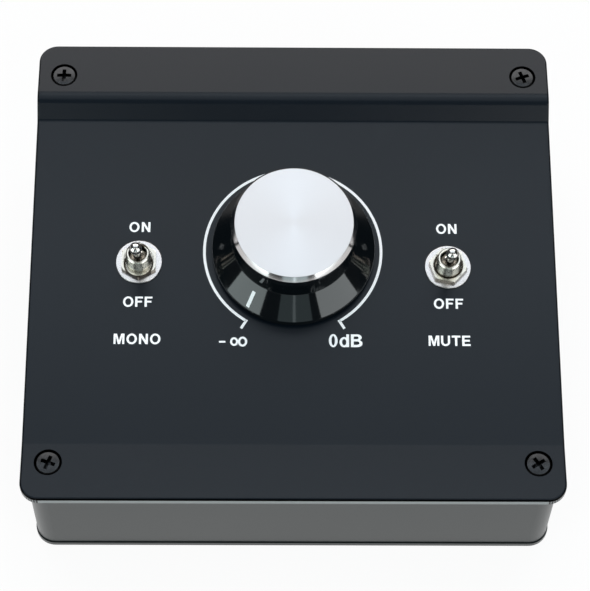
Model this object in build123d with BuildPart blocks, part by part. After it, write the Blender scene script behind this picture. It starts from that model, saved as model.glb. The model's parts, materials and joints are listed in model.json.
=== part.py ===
from build123d import *
from math import atan2, cos, radians, sin, sqrt, tan
import os

# Desktop studio monitor controller, in millimetres. +Z is up, the front faces -Y, the feet stand on z = 0.

# Case: a folded top cover over a walled box, closed below by a base cover
case_width = 140.0
case_depth = 130.5
strip_height = 33.6  # front strip's top above the base cover's underside
strip_depth = 15.5
riser_depth = 5.5
ramp_slope = 6.12  # degrees
ledge_height = 47.1  # rear ledge's top above the base cover's underside
ledge_depth = 17.0
cover_thickness = 2.2
cover_corner_radius = 5.0
cover_edge_radius = 0.7
ramp_bend_radius = 3.0
riser_foot_radius = 2.0
ledge_bend_radius = 6.0
cover_overhang = 1.75
wall = 2.0
wall_corner_radius = 5.0
wall_foot_chamfer = 0.4
base_thickness = 1.5
base_lip = 0.3  # how far the base cover stands out past the walls

# Feet
foot_height = 2.5
foot_radius = 5.5
foot_edge_chamfer = 0.8
foot_side_inset = 16.25
foot_end_inset = 19.5

# Corner posts, and the countersunk screws that every cover and flange uses
post_radius = 4.0
screw_side_inset = 7.05
screw_rear_inset = 9.85
screw_front_inset = 10.4
screw_radius = 1.45
screw_thread_gap = 0.05
screw_pass_gap = 0.15
screw_head_radius = 2.75
screw_head_rim = 0.2
screw_seat_gap = 0.03
screw_sink = 0.3  # how deep a top cover screw's head lies below the cover
cover_screw_length = 8.0
base_screw_length = 6.0
recess_span = 3.4
recess_slot = 0.8
recess_depth = 1.2
recess_taper = 8.0  # degrees
cover_screw_turns = (0.0, 30.0, 22.0, 33.0)  # degrees, as the screws were driven

# Volume knob, measured up its axis from the panel
knob_up_panel = 54.5
skirt_clearance = 0.6
skirt_radius = 21.65
skirt_side = 1.8
neck_radius = 16.45
neck_foot = 9.2
neck_top = 17.1
knob_wall = 2.0
knob_edge_chamfer = 0.25
knob_roof = 1.4
boss_wall = 2.5
boss_gap = 1.4  # from the potentiometer's bushing
rib_thickness = 1.2
rib_count = 6
rib_foot = 9.0
cap_radius = 16.4
cap_face_radius = 15.45
cap_bevel_height = 1.5
cap_spigot_radius = 13.5
cap_spigot_depth = 1.5
cap_fit = 0.05
pointer_width = 1.0
pointer_inner_radius = 18.0
pointer_outer_radius = 21.2
pointer_depth = 0.35
pointer_angle = -35.0  # degrees from straight down the panel, at the quiet stop

# Volume potentiometer
shaft_radius = 3.0
shaft_flat = 1.5  # from the axis to the flat
shaft_clearance = 0.05
shaft_fit = 0.02
shaft_top = 13.6
shaft_depth = 9.0
shaft_end_gap = 0.5
shaft_tip_chamfer = 0.4
pot_bushing_wall = 0.45
pot_bushing_top = 5.0
pot_bushing_chamfer = 0.2
pot_plate_size = 17.0
pot_plate_corner = 1.5
pot_plate_thickness = 1.2
pot_can_radius = 8.3
pot_can_depth = 13.0
pot_wafer_width = 14.0
pot_wafer_reach = 12.5
pot_wafer_thickness = 1.6
pot_wafer_depths = (3.5, 9.5)
pot_terminal_width = 1.0
pot_terminal_pitch = 5.0
pot_nut_flats = 10.0
pot_nut_height = 2.0
pot_washer_radius = 6.0
pot_washer_thickness = 0.5
panel_hole_clearance = 0.25

# Toggle switches, measured up their axes from the panel
switch_x = 41.1
switch_up_panel = {"mono": 51.0, "mute": 49.8}
washer_radius = 6.15
washer_thickness = 0.5
washer_fit = 0.02
nut_flats = 9.0
nut_height = 2.4
nut_turns = {"mono": 30.0, "mute": 48.0}  # degrees, as the nuts were tightened
nut_chamfer = 0.5
nut_crown = 0.35  # how far the chamfered top circle lies inside the flats
bushing_radius = 3.175
bushing_top = 6.3
bushing_wall = 0.625
bushing_rim_chamfer = 0.25
strap_thickness = 1.0
switch_width = 12.7
switch_length = 13.2
switch_height = 9.4
switch_corner_chamfer = 0.6
lever_pivot = 3.6
lever_length = 12.1  # from the pivot to the middle of the ball tip
lever_tip_radius = 1.65
lever_neck_radius = 1.0
lever_root_radius = 1.25
lever_clearance = 0.05
pivot_pin_radius = 0.5
pivot_pin_setback = 0.1  # from the bushing's outside
lever_nib_radius = 0.9
lever_nib_length = 5.2
lever_tilt = 13.0  # degrees towards the front, at OFF
lug_width = 2.0
lug_thickness = 0.8
lug_length = 4.0
lug_pitch = 4.7

# Rear sockets, measured in from the back wall
socket_count = 4
socket_height = 24.5  # above the base cover's underside
flange_side = 1.2  # from the barrel to the flange's edges
flange_end = 3.7
flange_thickness = 1.6
flange_corner_radius = 2.5
flange_screw_inset = 3.5
flange_screw_length = 7.0
barrel_wall = 2.2
barrel_clearance = 0.2
socket_post_gap = 2.15  # between the outer barrels and the corner posts
plug_ring_gap = 2.0  # round the core, for a plug's barrel
input_barrel_depth = 16.0
input_back_depth = 30.0
core_wall = 0.9
core_setback = 0.5
core_depth = 28.5
jack_bore_radius = 3.25
jack_bore_depth = 27.5
contact_hole_radius = 1.4
contact_wall = 0.65
contact_hole_depth = 14.0
output_recess_depth = 17.0
output_back_depth = 22.0
insulator_step = 0.6
pin_radius = 1.2
pin_root_radius = 0.9
pin_length = 12.4
pin_tip_chamfer = 0.5
pin_circle_radius = 4.3
latch_notch_width = 4.0  # for the plug's latch, above the pins
latch_notch_reach = 10.8
latch_notch_depth = 9.6
back_block_wall = 1.5

# Circuit board and what it carries
board_post_gap = 2.95  # between the board's ends and the corner posts
board_depth = 42.0
board_thickness = 1.6
board_rear_gap = 3.0  # from the back wall's inner face
standoff_height = 5.0
standoff_flats = 5.5
standoff_inset = 4.0
board_screw_head_radius = 2.75
board_screw_head_height = 1.8
board_screw_length = 4.0
leg_width = 0.8
leg_pitch = 5.0
leg_stub = 0.8
leg_rows = ((20.0, 26.0), (20.0, 26.0), (19.5,), (19.5,))  # each socket's rows of legs, in from the back wall
resistor_length = 6.3
resistor_radius = 1.15
resistor_lead_width = 0.6
resistor_lead_span = 10.0
resistor_lift = 0.3
resistor_pitch = 5.0
resistor_count = 6
header_width = 10.0
header_depth = 5.0
header_height = 6.0
header_inset = 4.5
header_xs = (-38.0, 0.0, 38.0)
loom_width = 5.0
loom_thickness = 1.2
loom_gap = 0.2
loom_lead = 5.0
loom_bend_radius = 3.0

# Levels and places that follow from the sizes above
base_top = foot_height + base_thickness
strip_top = foot_height + strip_height
ledge_top = foot_height + ledge_height
ramp_depth = case_depth - strip_depth - riser_depth - ledge_depth
ramp_rise = ramp_depth * tan(radians(ramp_slope))
ramp_foot_y = strip_depth - case_depth / 2
riser_foot_y = ramp_foot_y + ramp_depth
ledge_front_y = case_depth / 2 - ledge_depth
riser_slope = atan2(ledge_top - strip_top - ramp_rise, ledge_front_y - riser_foot_y)
shell_width = case_width - 2 * cover_overhang
shell_depth = case_depth - 2 * cover_overhang
back_y = shell_depth / 2
post_x = case_width / 2 - screw_side_inset
rear_post_y = case_depth / 2 - screw_rear_inset
front_post_y = screw_front_inset - case_depth / 2
screw_hole_radius = screw_radius + screw_thread_gap
cover_hole_radius = screw_radius + screw_pass_gap
posts = [(-post_x, rear_post_y), (post_x, rear_post_y), (-post_x, front_post_y), (post_x, front_post_y)]
post_tops = [ledge_top, ledge_top, strip_top, strip_top]
foot_span_x = shell_width - 2 * foot_side_inset
foot_span_y = shell_depth - 2 * foot_end_inset
cap_seat = neck_top - cap_spigot_depth - cap_fit
knob_roof_under = cap_seat - knob_roof
pot_face = -cover_thickness - pot_plate_thickness
pot_bushing_radius = shaft_radius + shaft_clearance + pot_bushing_wall
boss_radius = shaft_radius + boss_wall
boss_foot = pot_bushing_top + boss_gap
bushing_bore_radius = bushing_radius - bushing_wall
lever_joint_radius = bushing_bore_radius - lever_clearance
pivot_pin_reach = bushing_radius - pivot_pin_setback
contact_circle_radius = jack_bore_radius + contact_wall + contact_hole_radius
core_radius = contact_circle_radius + contact_hole_radius + core_wall
barrel_bore_radius = core_radius + plug_ring_gap
barrel_radius = barrel_bore_radius + barrel_wall
insulator_radius = barrel_bore_radius - insulator_step
flange_width = 2 * (barrel_radius + flange_side)
flange_height = 2 * (barrel_radius + flange_end)
flange_screw_x = flange_width / 2 - flange_screw_inset
flange_screw_z = flange_height / 2 - flange_screw_inset
socket_pitch = 2 * (post_x - post_radius - socket_post_gap - barrel_radius) / (socket_count - 1)
back_block_width = 2 * (insulator_radius + back_block_wall)
back_block_foot = foot_height + socket_height - back_block_width / 2
board_under = base_top + standoff_height
board_top = board_under + board_thickness
board_width = 2 * (post_x - post_radius - board_post_gap)
board_middle = back_y - wall - board_rear_gap - board_depth / 2
standoff_span_x = board_width - 2 * standoff_inset
standoff_span_y = board_depth - 2 * standoff_inset
header_y = board_middle - board_depth / 2 + header_inset
resistor_shift = (header_xs[1] + header_xs[2]) / 2
resistor_y = header_y + resistor_lead_span / 4
resistor_z = board_top + resistor_lift + resistor_radius
flange_screw_spots = [(-flange_screw_x, flange_screw_z), (flange_screw_x, -flange_screw_z)]

panel = Plane(
    origin=(0, ramp_foot_y, strip_top),
    x_dir=(1, 0, 0),
    z_dir=(0, -sin(radians(ramp_slope)), cos(radians(ramp_slope))),
)
rear = Plane(origin=(0, back_y, foot_height + socket_height), x_dir=(-1, 0, 0), z_dir=(0, 1, 0))

os.makedirs("parts", exist_ok=True)


def save(piece, name):
    piece.part.label = name
    export_step(piece.part, f"parts/{name}.step")


def shifted(plane, x, y):
    """The same plane with its origin moved along its own axes."""
    return Plane(origin=plane.from_local_coords((x, y, 0)), x_dir=plane.x_dir, z_dir=plane.z_dir)


def spun(plane, degrees):
    """The same plane turned about its own axis."""
    angle = radians(degrees)
    x_dir = plane.x_dir * cos(angle) + plane.y_dir * sin(angle)
    return Plane(origin=plane.origin, x_dir=x_dir, z_dir=plane.z_dir)


def base_seat(x, y):
    """A place on the base cover's underside, facing down."""
    return Plane(origin=(x, y, foot_height), x_dir=(1, 0, 0), z_dir=(0, 0, -1))


def lathe_plane(place):
    """The plane through a place's axis: its x is the radius and its y is the height along the axis."""
    return Plane(origin=place.origin, x_dir=place.x_dir, z_dir=-place.y_dir)


def turned(place, outline, mode=Mode.ADD):
    """Turns an outline of (radius, height) points about a place's axis."""
    with BuildSketch(lathe_plane(place)) as profile:
        with BuildLine():
            Polyline(*outline, close=True)
        make_face()
    revolve(profile.sketch, axis=Axis(place.origin, place.z_dir), mode=mode)


def ring_outline(inner, outer, foot, top):
    return [(inner, foot), (outer, foot), (outer, top), (inner, top)]


def tube_outline(inner, outer, foot, top, edge):
    return [(inner, foot), (outer, foot), (outer, top - edge), (outer - edge, top), (inner, top)]


def screw_hole(depth, sink=0.0):
    """A countersunk hole whose cone lets a screw head in by the sink below the surface."""
    sink_radius = screw_head_radius + screw_head_rim + sink + screw_seat_gap
    CounterSinkHole(cover_hole_radius, sink_radius, depth, counter_sink_angle=90)


def is_ring(edge, radius):
    return edge.geom_type == GeomType.CIRCLE and abs(edge.radius - radius) < 0.01


def hex_nut(place, flats, bore, height):
    with BuildSketch(place) as hexagon:
        RegularPolygon(flats / 2, 6, major_radius=False)
        Circle(bore, mode=Mode.SUBTRACT)
    extrude(hexagon.sketch, amount=height)
    corner = flats / 2 / cos(radians(30))
    crown = flats / 2 - nut_crown
    crowned = [(0, 0), (corner, 0), (corner, height - nut_chamfer), (crown, height), (0, height)]
    turned(place, crowned, mode=Mode.INTERSECT)


def countersunk_screw(seat, length, turn):
    """One screw with a cross recess, its head's top on the seat plane."""
    cone_foot = screw_head_rim + screw_head_radius - screw_radius
    turned(
        seat,
        [
            (0, 0),
            (screw_head_radius, 0),
            (screw_head_radius, -screw_head_rim),
            (screw_radius, -cone_foot),
            (screw_radius, -length),
            (0, -length),
        ],
    )
    with BuildSketch(spun(seat, turn)) as cross:
        Rectangle(recess_span, recess_slot)
        Rectangle(recess_slot, recess_span)
    extrude(cross.sketch, amount=-recess_depth, taper=recess_taper, mode=Mode.SUBTRACT)


def fold_line(drop, reach):
    """The cover's folded top line, dropped square to itself, from y = -reach to y = reach."""
    ramp = radians(ramp_slope)
    riser_bend = (ramp + riser_slope) / 2
    riser_mitre = drop / cos((riser_slope - ramp) / 2)
    return FilletPolyline(
        (-reach, strip_top - drop),
        (ramp_foot_y + drop * tan(ramp / 2), strip_top - drop),
        (riser_foot_y + riser_mitre * sin(riser_bend), strip_top + ramp_rise - riser_mitre * cos(riser_bend)),
        (ledge_front_y + drop * tan(riser_slope / 2), ledge_top - drop),
        (reach, ledge_top - drop),
        radius=[ramp_bend_radius + drop, riser_foot_radius + drop, ledge_bend_radius - drop],
    )


def cone_height(radius):
    """The height of the knob's flared side at a radius."""
    foot = skirt_clearance + skirt_side
    return foot + (skirt_radius - radius) * (neck_foot - foot) / (skirt_radius - neck_radius)


knob_place = shifted(panel, 0, knob_up_panel)
switch_places = {
    "mono": shifted(panel, -switch_x, switch_up_panel["mono"]),
    "mute": shifted(panel, switch_x, switch_up_panel["mute"]),
}
panel_holes = [(place, bushing_radius) for place in switch_places.values()]
panel_holes.append((knob_place, pot_bushing_radius))
socket_spots = [((index - (socket_count - 1) / 2) * socket_pitch, 0) for index in range(socket_count)]
socket_places = [shifted(rear, x, z) for x, z in socket_spots]
leg_spots = [
    (place.origin.X + side * leg_pitch, back_y - row)
    for place, rows in zip(socket_places, leg_rows)
    for row in rows
    for side in (-1, 0, 1)
]


# Case

with BuildPart() as top_cover:
    with BuildSketch(Plane.YZ):
        with BuildLine():
            upper = fold_line(0, case_depth / 2)
            lower = fold_line(cover_thickness, case_depth / 2)
            Line(upper @ 0, lower @ 0)
            Line(upper @ 1, lower @ 1)
        make_face()
    extrude(amount=case_width / 2, both=True)
    fillet(top_cover.edges().filter_by(Axis.Z), cover_corner_radius)
    upper_faces = top_cover.faces().filter_by(lambda face: face.normal_at().Z > 0.5)
    side_faces = top_cover.faces().filter_by(lambda face: abs(face.normal_at().Z) < 0.01)
    fillet(upper_faces.edges() & side_faces.edges(), cover_edge_radius)
    for place, radius in panel_holes:
        with BuildSketch(place):
            Circle(radius + panel_hole_clearance)
        extrude(amount=-2 * cover_thickness, mode=Mode.SUBTRACT)
    for (x, y), top in zip(posts, post_tops):
        with Locations((x, y, top)):
            screw_hole(2 * cover_thickness, screw_sink)
save(top_cover, "top_cover")

with BuildPart() as box_shell:
    with BuildSketch(Plane.XY.offset(base_top)):
        RectangleRounded(shell_width, shell_depth, wall_corner_radius)
        offset(amount=-wall, mode=Mode.SUBTRACT)
        with Locations(*posts):
            Circle(post_radius)
    extrude(amount=ledge_height)
    with BuildSketch(Plane.YZ):
        with BuildLine():
            seat = fold_line(cover_thickness, case_depth / 2)
            Polyline(seat @ 1, (case_depth / 2, base_top), (-case_depth / 2, base_top), seat @ 0)
        make_face()
    extrude(amount=case_width / 2, both=True, mode=Mode.INTERSECT)
    wall_foot = box_shell.faces().sort_by(Axis.Z)[0].outer_wire()
    chamfer(wall_foot.edges(), wall_foot_chamfer)
    for (x, y), top in zip(posts, post_tops):
        with Locations((x, y, top - cover_thickness), (x, y, base_top + base_screw_length)):
            Hole(screw_hole_radius, cover_screw_length)
    with BuildSketch(rear):
        with Locations(*socket_spots):
            Circle(barrel_radius + barrel_clearance)
            with Locations(*flange_screw_spots):
                Circle(screw_hole_radius)
    extrude(amount=-wall, mode=Mode.SUBTRACT)
save(box_shell, "box_shell")

with BuildPart() as base_cover:
    with BuildSketch(Plane.XY.offset(foot_height)):
        RectangleRounded(shell_width, shell_depth, wall_corner_radius)
        offset(amount=base_lip)
    extrude(amount=base_thickness)
    with Locations(*[base_seat(x, y) for x, y in posts]):
        screw_hole(2 * base_thickness)
save(base_cover, "base_cover")

with BuildPart() as rubber_feet:
    with BuildSketch():
        with GridLocations(foot_span_x, foot_span_y, 2, 2):
            Circle(foot_radius)
    extrude(amount=foot_height)
    chamfer(rubber_feet.faces().group_by(Axis.Z)[0].edges(), foot_edge_chamfer)
save(rubber_feet, "rubber_feet")

with BuildPart() as cover_screws:
    for (x, y), top, turn in zip(posts, post_tops, cover_screw_turns):
        countersunk_screw(Plane.XY.move(Location((x, y, top - screw_sink))), cover_screw_length, turn)
save(cover_screws, "cover_screws")

with BuildPart() as base_screws:
    for x, y in posts:
        countersunk_screw(base_seat(x, y), base_screw_length, 0)
save(base_screws, "base_screws")


# Volume knob

with BuildPart() as knob_pointer:
    turned(
        knob_place,
        [
            (pointer_inner_radius, cone_height(pointer_inner_radius)),
            (pointer_outer_radius, cone_height(pointer_outer_radius)),
            (pointer_outer_radius, cone_height(pointer_outer_radius) - pointer_depth),
            (pointer_inner_radius, cone_height(pointer_inner_radius) - pointer_depth),
        ],
    )
    with BuildSketch(spun(knob_place, pointer_angle)):
        with Locations((0, -skirt_radius / 2)):
            Rectangle(pointer_width, skirt_radius)
    extrude(amount=neck_top, mode=Mode.INTERSECT)
save(knob_pointer, "knob_pointer")

with BuildPart() as knob_body:
    turned(
        knob_place,
        [
            (skirt_radius - knob_wall, skirt_clearance),
            (skirt_radius, skirt_clearance),
            (skirt_radius, skirt_clearance + skirt_side),
            (neck_radius, neck_foot),
            (neck_radius, neck_top),
            (cap_spigot_radius + cap_fit, neck_top),
            (cap_spigot_radius + cap_fit, cap_seat),
            (0, cap_seat),
            (0, shaft_top + cap_fit),
            (shaft_radius + shaft_fit, shaft_top + cap_fit),
            (shaft_radius + shaft_fit, boss_foot),
            (boss_radius, boss_foot),
            (boss_radius, knob_roof_under),
            (neck_radius - knob_wall, knob_roof_under),
            (neck_radius - knob_wall, neck_foot - knob_wall / 2),
            (skirt_radius - knob_wall, skirt_clearance + skirt_side - knob_wall / 2),
        ],
    )
    for radius in (skirt_radius, neck_radius):
        chamfer(knob_body.edges().filter_by(lambda edge: is_ring(edge, radius)), knob_edge_chamfer)
    with BuildSketch(knob_place.offset(rib_foot)):
        with PolarLocations((boss_radius + neck_radius - knob_wall) / 2, rib_count):
            Rectangle(neck_radius - knob_wall - boss_radius + knob_wall / 2, rib_thickness)
    extrude(amount=knob_roof_under - rib_foot)
    with BuildSketch(knob_place.offset(boss_foot)):
        Circle(shaft_radius + shaft_fit)
        with Locations((0, shaft_flat + shaft_fit - shaft_radius)):
            Rectangle(4 * shaft_radius, 2 * shaft_radius, mode=Mode.SUBTRACT)
    extrude(amount=shaft_top + cap_fit - boss_foot)
    add(knob_pointer.part, mode=Mode.SUBTRACT)
save(knob_body, "knob_body")

with BuildPart() as knob_cap:
    turned(
        knob_place,
        [
            (0, cap_seat + cap_fit),
            (cap_spigot_radius, cap_seat + cap_fit),
            (cap_spigot_radius, neck_top),
            (cap_radius, neck_top),
            (cap_face_radius, neck_top + cap_bevel_height),
            (0, neck_top + cap_bevel_height),
        ],
    )
save(knob_cap, "knob_cap")


# Volume potentiometer, hung from the panel under the knob

with BuildPart() as pot_shaft:
    turned(
        knob_place,
        [
            (0, pot_face - shaft_depth),
            (shaft_radius, pot_face - shaft_depth),
            (shaft_radius, shaft_top - shaft_tip_chamfer),
            (shaft_radius - shaft_tip_chamfer, shaft_top),
            (0, shaft_top),
        ],
    )
    with BuildSketch(knob_place.offset(pot_bushing_top)):
        with Locations((0, shaft_flat + shaft_radius)):
            Rectangle(4 * shaft_radius, 2 * shaft_radius)
    extrude(amount=shaft_top, mode=Mode.SUBTRACT)
save(pot_shaft, "pot_shaft")

with BuildPart() as pot_bushing:
    with BuildSketch(knob_place.offset(pot_face)):
        RectangleRounded(pot_plate_size, pot_plate_size, pot_plate_corner)
    extrude(amount=pot_plate_thickness)
    thread = tube_outline(0, pot_bushing_radius, -cover_thickness, pot_bushing_top, pot_bushing_chamfer)
    turned(knob_place, thread)
    with BuildSketch(knob_place.offset(pot_face)):
        Circle(shaft_radius + shaft_clearance)
    extrude(amount=pot_bushing_top - pot_face, mode=Mode.SUBTRACT)
save(pot_bushing, "pot_bushing")

with BuildPart() as pot_can:
    with BuildSketch(knob_place.offset(pot_face)):
        Circle(pot_can_radius)
    extrude(amount=-pot_can_depth)
    for depth in pot_wafer_depths:
        with BuildSketch(knob_place.offset(pot_face - depth)):
            with Locations((0, pot_wafer_reach / 2)):
                Rectangle(pot_wafer_width, pot_wafer_reach)
        extrude(amount=-pot_wafer_thickness)
    with BuildSketch(knob_place.offset(pot_face)):
        Circle(shaft_radius + shaft_clearance)
    extrude(amount=-shaft_depth - shaft_end_gap, mode=Mode.SUBTRACT)
save(pot_can, "pot_can")

with BuildPart() as pot_terminals:
    for depth in pot_wafer_depths:
        with BuildSketch(knob_place.offset(pot_face - depth)):
            with Locations((0, pot_wafer_reach + lug_length / 2)):
                with GridLocations(pot_terminal_pitch, 0, 3, 1):
                    Rectangle(pot_terminal_width, lug_length)
        extrude(amount=-lug_thickness)
save(pot_terminals, "pot_terminals")

with BuildPart() as pot_washer:
    pot_thread_fit = pot_bushing_radius + washer_fit
    turned(knob_place, ring_outline(pot_thread_fit, pot_washer_radius, 0, pot_washer_thickness))
save(pot_washer, "pot_washer")

with BuildPart() as pot_nut:
    hex_nut(knob_place.offset(pot_washer_thickness), pot_nut_flats, pot_thread_fit, pot_nut_height)
save(pot_nut, "pot_nut")


# Toggle switches


def toggle_switch(name, place):
    """One lever switch: everything but the lever stays with the case."""
    under_strap = -cover_thickness - strap_thickness
    tilt = radians(lever_tilt)
    lever_up = place.z_dir * cos(tilt) - place.y_dir * sin(tilt)
    pivot = Plane(origin=place.offset(lever_pivot).origin, x_dir=place.x_dir, z_dir=lever_up)
    across = Plane(origin=pivot.origin, x_dir=place.z_dir, z_dir=place.x_dir)

    with BuildPart() as washer:
        turned(place, ring_outline(bushing_radius + washer_fit, washer_radius, 0, washer_thickness))
    save(washer, f"{name}_washer")

    with BuildPart() as nut:
        nut_place = spun(place.offset(washer_thickness), nut_turns[name])
        hex_nut(nut_place, nut_flats, bushing_radius + washer_fit, nut_height)
    save(nut, f"{name}_nut")

    with BuildPart() as bushing:
        with BuildSketch(place.offset(under_strap)):
            Rectangle(switch_width, switch_length)
        extrude(amount=strap_thickness)
        turned(place, tube_outline(0, bushing_radius, -cover_thickness, bushing_top, bushing_rim_chamfer))
        with BuildSketch(place.offset(under_strap)):
            Circle(bushing_bore_radius)
        extrude(amount=bushing_top - under_strap, mode=Mode.SUBTRACT)
        with BuildSketch(across):
            Circle(pivot_pin_radius)
        extrude(amount=bushing_radius, both=True, mode=Mode.SUBTRACT)
    save(bushing, f"{name}_bushing")

    with BuildPart() as pivot_pin:
        with BuildSketch(across):
            Circle(pivot_pin_radius)
        extrude(amount=pivot_pin_reach, both=True)
    save(pivot_pin, f"{name}_pivot_pin")

    with BuildPart() as lever:
        with BuildSketch(lathe_plane(pivot)):
            with BuildLine():
                joint_foot = (lever_nib_radius, -sqrt(lever_joint_radius**2 - lever_nib_radius**2))
                joint_top = (lever_root_radius, sqrt(lever_joint_radius**2 - lever_root_radius**2))
                neck_rise = lever_length - sqrt(lever_tip_radius**2 - lever_neck_radius**2)
                tip_foot = (lever_neck_radius, neck_rise)
                tip_top = (0, lever_length + lever_tip_radius)
                Polyline(tip_top, (0, -lever_nib_length), (lever_nib_radius, -lever_nib_length), joint_foot)
                ThreePointArc(joint_foot, (lever_joint_radius, 0), joint_top)
                Line(joint_top, tip_foot)
                ThreePointArc(tip_foot, (lever_tip_radius, lever_length), tip_top)
            make_face()
        revolve(axis=Axis(pivot.origin, pivot.z_dir))
        with BuildSketch(across):
            Circle(pivot_pin_radius + lever_clearance)
        extrude(amount=bushing_radius, both=True, mode=Mode.SUBTRACT)
    save(lever, f"{name}_lever")

    with BuildPart() as housing:
        with BuildSketch(place.offset(under_strap)):
            Rectangle(switch_width, switch_length)
        extrude(amount=-switch_height)
        chamfer(housing.edges().filter_by(Axis(place.origin, place.z_dir)), switch_corner_chamfer)
    save(housing, f"{name}_switch_body")

    with BuildPart() as lugs:
        with BuildSketch(place.offset(under_strap - switch_height)):
            with GridLocations(lug_pitch, lug_pitch, 2, 3):
                Rectangle(lug_width, lug_thickness)
        extrude(amount=-lug_length)
    save(lugs, f"{name}_lugs")


for switch_name, switch_place in switch_places.items():
    toggle_switch(switch_name, switch_place)


# Rear sockets


def flange_plate():
    """The front plate that both kinds of socket share, standing on the back wall."""
    RectangleRounded(flange_width, flange_height, flange_corner_radius)
    Circle(barrel_bore_radius, mode=Mode.SUBTRACT)


def flange_screw_seats(place):
    return [shifted(place.offset(flange_thickness), x, z) for x, z in flange_screw_spots]


def socket_shell(name, place, barrel_depth, back_depth, pocket_radius, pocket_depth, latch_depth=0.0):
    """The moulded shell: flange, open barrel and the block behind it that holds the contacts."""
    with BuildPart() as shell:
        with BuildSketch(place):
            flange_plate()
        extrude(amount=flange_thickness)
        turned(place, ring_outline(barrel_bore_radius, barrel_radius, -barrel_depth, 0))
        with BuildSketch(place.offset(-barrel_depth)):
            Rectangle(back_block_width, back_block_width)
        extrude(amount=barrel_depth - back_depth)
        with BuildSketch(place.offset(-barrel_depth)):
            Circle(pocket_radius)
        extrude(amount=barrel_depth - pocket_depth, mode=Mode.SUBTRACT)
        with Locations(*flange_screw_seats(place)):
            screw_hole(2 * flange_thickness)
        if latch_depth:
            with BuildSketch(place.offset(flange_thickness)):
                with Locations((0, latch_notch_reach / 2)):
                    Rectangle(latch_notch_width, latch_notch_reach)
            extrude(amount=-latch_depth, mode=Mode.SUBTRACT)
    save(shell, name)


def input_socket(side, place):
    """A socket that takes a round three-pin plug in its ring or a 6.35 mm jack in its middle."""
    socket_shell(f"input_shell_{side}", place, input_barrel_depth, input_back_depth, core_radius, core_depth)
    with BuildPart() as core:
        with BuildSketch(place.offset(-core_setback)):
            Circle(core_radius)
        extrude(amount=core_setback - core_depth)
        with BuildSketch(place.offset(-core_setback)):
            Circle(jack_bore_radius)
        extrude(amount=core_setback - jack_bore_depth, mode=Mode.SUBTRACT)
        with BuildSketch(place.offset(-core_setback)):
            with PolarLocations(contact_circle_radius, 3, start_angle=90):
                Circle(contact_hole_radius)
        extrude(amount=-contact_hole_depth, mode=Mode.SUBTRACT)
    save(core, f"input_core_{side}")


def output_socket(side, place):
    """A recessed socket with three round pins."""
    socket_shell(
        f"output_shell_{side}",
        place,
        output_recess_depth,
        output_back_depth,
        insulator_radius,
        output_back_depth,
        latch_notch_depth,
    )
    with BuildPart() as insulator:
        with BuildSketch(place.offset(-output_recess_depth)):
            Circle(insulator_radius)
            with PolarLocations(pin_circle_radius, 3, start_angle=-90):
                Circle(pin_root_radius, mode=Mode.SUBTRACT)
        extrude(amount=output_recess_depth - output_back_depth)
    save(insulator, f"output_insulator_{side}")
    with BuildPart() as pins:
        for radius, foot, top in (
            (pin_root_radius, -output_back_depth, -output_recess_depth),
            (pin_radius, -output_recess_depth, pin_length - output_recess_depth),
        ):
            with BuildSketch(place.offset(foot)):
                with PolarLocations(pin_circle_radius, 3, start_angle=-90):
                    Circle(radius)
            extrude(amount=top - foot)
        chamfer(pins.faces().group_by(Axis.Y)[-1].edges(), pin_tip_chamfer)
    save(pins, f"output_pins_{side}")


input_socket("left", socket_places[0])
input_socket("right", socket_places[1])
output_socket("left", socket_places[2])
output_socket("right", socket_places[3])

with BuildPart() as socket_screws:
    for place in socket_places:
        for seat in flange_screw_seats(place):
            countersunk_screw(seat, flange_screw_length, 0)
save(socket_screws, "socket_screws")


# Circuit board, carried on the base cover

with BuildPart() as main_board:
    with BuildSketch(Plane.XY.offset(board_under)):
        with Locations((0, board_middle)):
            Rectangle(board_width, board_depth)
            with GridLocations(standoff_span_x, standoff_span_y, 2, 2):
                Circle(cover_hole_radius, mode=Mode.SUBTRACT)
        with Locations(*leg_spots):
            Rectangle(leg_width, leg_width, mode=Mode.SUBTRACT)
    extrude(amount=board_thickness)
save(main_board, "main_board")

with BuildPart() as board_standoffs:
    with BuildSketch(Plane.XY.offset(base_top)):
        with Locations((0, board_middle)):
            with GridLocations(standoff_span_x, standoff_span_y, 2, 2):
                RegularPolygon(standoff_flats / 2, 6, major_radius=False)
                Circle(screw_hole_radius, mode=Mode.SUBTRACT)
    extrude(amount=standoff_height)
save(board_standoffs, "board_standoffs")

with BuildPart() as board_screws:
    for radius, foot, top in (
        (board_screw_head_radius, board_top, board_top + board_screw_head_height),
        (screw_radius, board_top - board_screw_length, board_top),
    ):
        with BuildSketch(Plane.XY.offset(foot)):
            with Locations((0, board_middle)):
                with GridLocations(standoff_span_x, standoff_span_y, 2, 2):
                    Circle(radius)
        extrude(amount=top - foot)
save(board_screws, "board_screws")

with BuildPart() as socket_legs:
    with BuildSketch(Plane.XY.offset(board_under - leg_stub)):
        with Locations(*leg_spots):
            Rectangle(leg_width, leg_width)
    extrude(amount=back_block_foot - board_under + leg_stub)
save(socket_legs, "socket_legs")

with BuildPart() as resistors:
    for index in range(resistor_count):
        resistor_x = (index - (resistor_count - 1) / 2) * resistor_pitch + resistor_shift
        lying = Plane(origin=(resistor_x, resistor_y, resistor_z), x_dir=(1, 0, 0), z_dir=(0, 1, 0))
        with BuildSketch(lying.offset(-resistor_length / 2)):
            Circle(resistor_radius)
        extrude(amount=resistor_length)
        with BuildSketch(lying.offset(-resistor_lead_span / 2)):
            Rectangle(resistor_lead_width, resistor_lead_width)
        extrude(amount=resistor_lead_span)
        with BuildSketch(Plane.XY.offset(board_top)):
            with Locations((resistor_x, resistor_y)):
                with GridLocations(0, resistor_lead_span - resistor_lead_width, 1, 2):
                    Rectangle(resistor_lead_width, resistor_lead_width)
        extrude(amount=resistor_z - board_top)
save(resistors, "resistors")

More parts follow.
